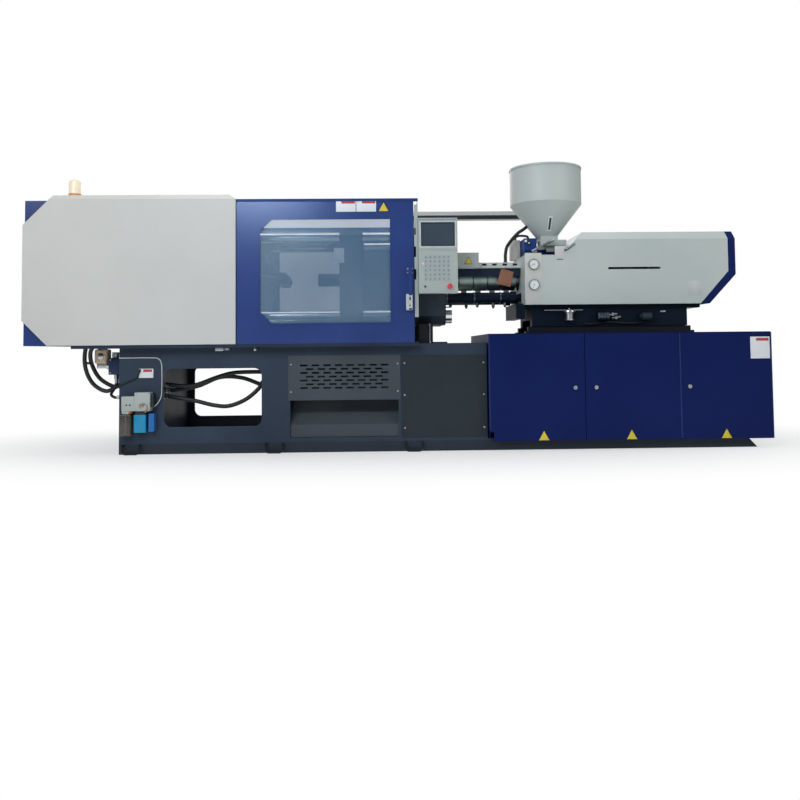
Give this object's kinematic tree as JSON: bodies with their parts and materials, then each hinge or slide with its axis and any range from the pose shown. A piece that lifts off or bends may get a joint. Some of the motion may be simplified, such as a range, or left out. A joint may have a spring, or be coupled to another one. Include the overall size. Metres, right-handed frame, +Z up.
{
  "type": "injection moulding machine",
  "caption": "Horizontal plastics injection moulding machine: toggle clamp under covers with sliding safety doors, control panel, barrel, hopper and carriage on a cabinet.",
  "frame": {"origin": "floor level under the middle of the machine", "axes": "+X from the clamp end to the injection end, +Y to the rear side, +Z up"},
  "size_m": [5.3, 1.272, 2.1263],
  "materials": {
    "frame_paint": "satin dark grey-blue paint",
    "grey_sheet": "satin grey paint on sheet steel",
    "dark_sheet": "satin dark grey paint on sheet steel",
    "zinc_steel": "bright zinc plating",
    "navy_paint": "gloss navy paint",
    "blue_paint": "gloss blue paint",
    "light_paint": "satin light grey paint",
    "pale_paint": "satin pale grey-green paint",
    "cover_paint": "satin pale grey-green paint",
    "carriage_paint": "satin near-black paint",
    "cast_paint": "painted castings",
    "link_steel": "machined and oiled",
    "chrome_steel": "ground and hard-chromed",
    "barrel_steel": "nitrided steel",
    "band_steel": "dull sheet steel",
    "window_pane": "clear polycarbonate",
    "screen_glass": "dark display",
    "red_plastic": "red moulded plastic",
    "beacon_plastic": "translucent moulded plastic",
    "tank_plastic": "moulded reservoir plastic",
    "hose_rubber": "black rubber",
    "manifold_paint": "dark blue paint",
    "dial_white": "white dial behind a clear cover"
  },
  "bodies": {
    "machine": {"bed_beams": "frame_paint", "bed_side_plates": "frame_paint", "bed_cross_plates": "frame_paint", "grille_panel": "grey_sheet", "side_panel": "dark_sheet", "drop_chute": "grey_sheet", "cabinet_body": "navy_paint", "oil_tank": "frame_paint", "pump_motor": "cast_paint", "electric_plate": "pale_paint", "clamp_shell": "blue_paint", "cover_panels": "light_paint", "roof_panel": "light_paint", "beacon": "beacon_plastic", "door_guides": "blue_paint", "fixed_guard": "pale_paint", "fixed_platen": "cast_paint", "tie_bars": "chrome_steel", "control_panel": "pale_paint", "display": "screen_glass", "cable_duct": "pale_paint", "seat_cylinders": "cast_paint", "lube_pump": "pale_paint", "lube_tank": "tank_plastic", "hydraulic_hoses": "hose_rubber", "clamp_manifold": "manifold_paint"},
    "tail": {"tail_platen": "cast_paint", "clamp_cylinder": "cast_paint"},
    "moving_platen": {"moving_platen": "cast_paint", "platen_shoes": "cast_paint"},
    "ejector": {"ejector_rod": "chrome_steel"},
    "crosshead": {"crosshead": "cast_paint"},
    "upper_rear_link": {"upper_rear_link": "link_steel"},
    "lower_rear_link": {"lower_rear_link": "link_steel"},
    "upper_front_link": {"upper_front_link": "link_steel"},
    "lower_front_link": {"lower_front_link": "link_steel"},
    "upper_cross_link": {"upper_cross_link": "link_steel"},
    "lower_cross_link": {"lower_cross_link": "link_steel"},
    "front_door": {"front_door": "blue_paint", "front_window": "window_pane"},
    "rear_door": {"rear_door": "blue_paint", "rear_window": "window_pane"},
    "carriage": {"carriage_frame": "carriage_paint", "injection_cover": "cover_paint", "cover_end_cap": "navy_paint", "pressure_dials": "dial_white", "barrel": "barrel_steel", "heater_bands": "band_steel", "barrel_guard": "pale_paint", "hopper": "cover_paint", "conduits": "hose_rubber"},
    "ram": {"ram_plate": "cast_paint"},
    "screw": {"screw": "chrome_steel"},
    "hopper_lid": {"hopper_lid": "cover_paint"},
    "hopper_gate": {"hopper_gate": "zinc_steel"},
    "purge_guard": {"purge_guard": "pale_paint"},
    "cabinet_door_1": {"cabinet_door_1": "navy_paint"},
    "cabinet_door_2": {"cabinet_door_2": "navy_paint"},
    "cabinet_door_3": {"cabinet_door_3": "navy_paint"},
    "stop_button": {"stop_button": "red_plastic"}
  },
  "joints": [
    {"name": "front_door_slide", "type": "slide", "parent": "machine", "child": "front_door", "axis": [1, 0, 0], "range_m": [-1.12, 0]},
    {"name": "rear_door_slide", "type": "slide", "parent": "machine", "child": "rear_door", "axis": [1, 0, 0], "range_m": [-1.12, 0]},
    {"name": "mould_height_slide", "type": "slide", "parent": "machine", "child": "tail", "axis": [1, 0, 0], "range_m": [-0.15, 0]},
    {"name": "platen_slide", "type": "slide", "parent": "tail", "child": "moving_platen", "axis": [1, 0, 0], "range_m": [-0.387, 0]},
    {"name": "ejector_slide", "type": "slide", "parent": "moving_platen", "child": "ejector", "axis": [1, 0, 0], "range_m": [0, 0.1]},
    {"name": "crosshead_slide", "type": "slide", "parent": "tail", "child": "crosshead", "axis": [1, 0, 0], "range_m": [-0.166, 0]},
    {"name": "upper_rear_link_hinge", "type": "hinge", "parent": "tail", "child": "upper_rear_link", "pos_m": [-1.18, 0, 1.565], "axis": [0, 1, 0], "range_deg": [0, 100]},
    {"name": "lower_rear_link_hinge", "type": "hinge", "parent": "tail", "child": "lower_rear_link", "pos_m": [-1.18, 0, 0.965], "axis": [0, 1, 0], "range_deg": [-100, 0]},
    {"name": "upper_front_link_hinge", "type": "hinge", "parent": "moving_platen", "child": "upper_front_link", "pos_m": [-0.56, 0, 1.565], "axis": [0, 1, 0], "range_deg": [-41.8, 0]},
    {"name": "lower_front_link_hinge", "type": "hinge", "parent": "moving_platen", "child": "lower_front_link", "pos_m": [-0.56, 0, 0.965], "axis": [0, 1, 0], "range_deg": [0, 41.8]},
    {"name": "upper_cross_link_hinge", "type": "hinge", "parent": "crosshead", "child": "upper_cross_link", "pos_m": [-0.97432, 0, 1.345], "axis": [0, 1, 0], "range_deg": [-37.8, 0]},
    {"name": "lower_cross_link_hinge", "type": "hinge", "parent": "crosshead", "child": "lower_cross_link", "pos_m": [-0.97432, 0, 1.185], "axis": [0, 1, 0], "range_deg": [0, 37.8]},
    {"name": "carriage_slide", "type": "slide", "parent": "machine", "child": "carriage", "axis": [1, 0, 0], "range_m": [0, 0.28]},
    {"name": "ram_slide", "type": "slide", "parent": "carriage", "child": "ram", "axis": [1, 0, 0], "range_m": [0, 0.18]},
    {"name": "screw_spin", "type": "hinge", "parent": "ram", "child": "screw", "pos_m": [1.2, 0, 1.265], "axis": [1, 0, 0], "continuous": true},
    {"name": "hopper_lid_hinge", "type": "hinge", "parent": "carriage", "child": "hopper_lid", "pos_m": [1.155, 0.281, 2.1203], "axis": [-1, 0, 0], "range_deg": [0, 100]},
    {"name": "hopper_gate_slide", "type": "slide", "parent": "carriage", "child": "hopper_gate", "axis": [0, -1, 0], "range_m": [0, 0.09]},
    {"name": "purge_guard_hinge", "type": "hinge", "parent": "machine", "child": "purge_guard", "pos_m": [0.5, 0.158, 1.435], "axis": [-1, 0, 0], "range_deg": [0, 80]},
    {"name": "cabinet_door_1_hinge", "type": "hinge", "parent": "machine", "child": "cabinet_door_1", "pos_m": [0.619, -0.56, 0.45], "axis": [0, 0, -1], "range_deg": [0, 105]},
    {"name": "cabinet_door_2_hinge", "type": "hinge", "parent": "machine", "child": "cabinet_door_2", "pos_m": [1.985, -0.56, 0.45], "axis": [0, 0, 1], "range_deg": [0, 105]},
    {"name": "cabinet_door_3_hinge", "type": "hinge", "parent": "machine", "child": "cabinet_door_3", "pos_m": [2.648, -0.56, 0.45], "axis": [0, 0, 1], "range_deg": [0, 105]},
    {"name": "stop_button_press", "type": "slide", "parent": "machine", "child": "stop_button", "axis": [0, 1, 0], "range_m": [0, 0.006]}
  ],
  "couplings": [
    {"joint": "crosshead_slide", "follows": "platen_slide", "ratio": 0.4264},
    {"joint": "upper_rear_link_hinge", "follows": "platen_slide", "rad_per_m": -4.509},
    {"joint": "lower_rear_link_hinge", "follows": "platen_slide", "rad_per_m": 4.509},
    {"joint": "upper_front_link_hinge", "follows": "platen_slide", "rad_per_m": 1.881},
    {"joint": "lower_front_link_hinge", "follows": "platen_slide", "rad_per_m": -1.881},
    {"joint": "upper_cross_link_hinge", "follows": "platen_slide", "rad_per_m": 1.7},
    {"joint": "lower_cross_link_hinge", "follows": "platen_slide", "rad_per_m": -1.7}
  ]
}
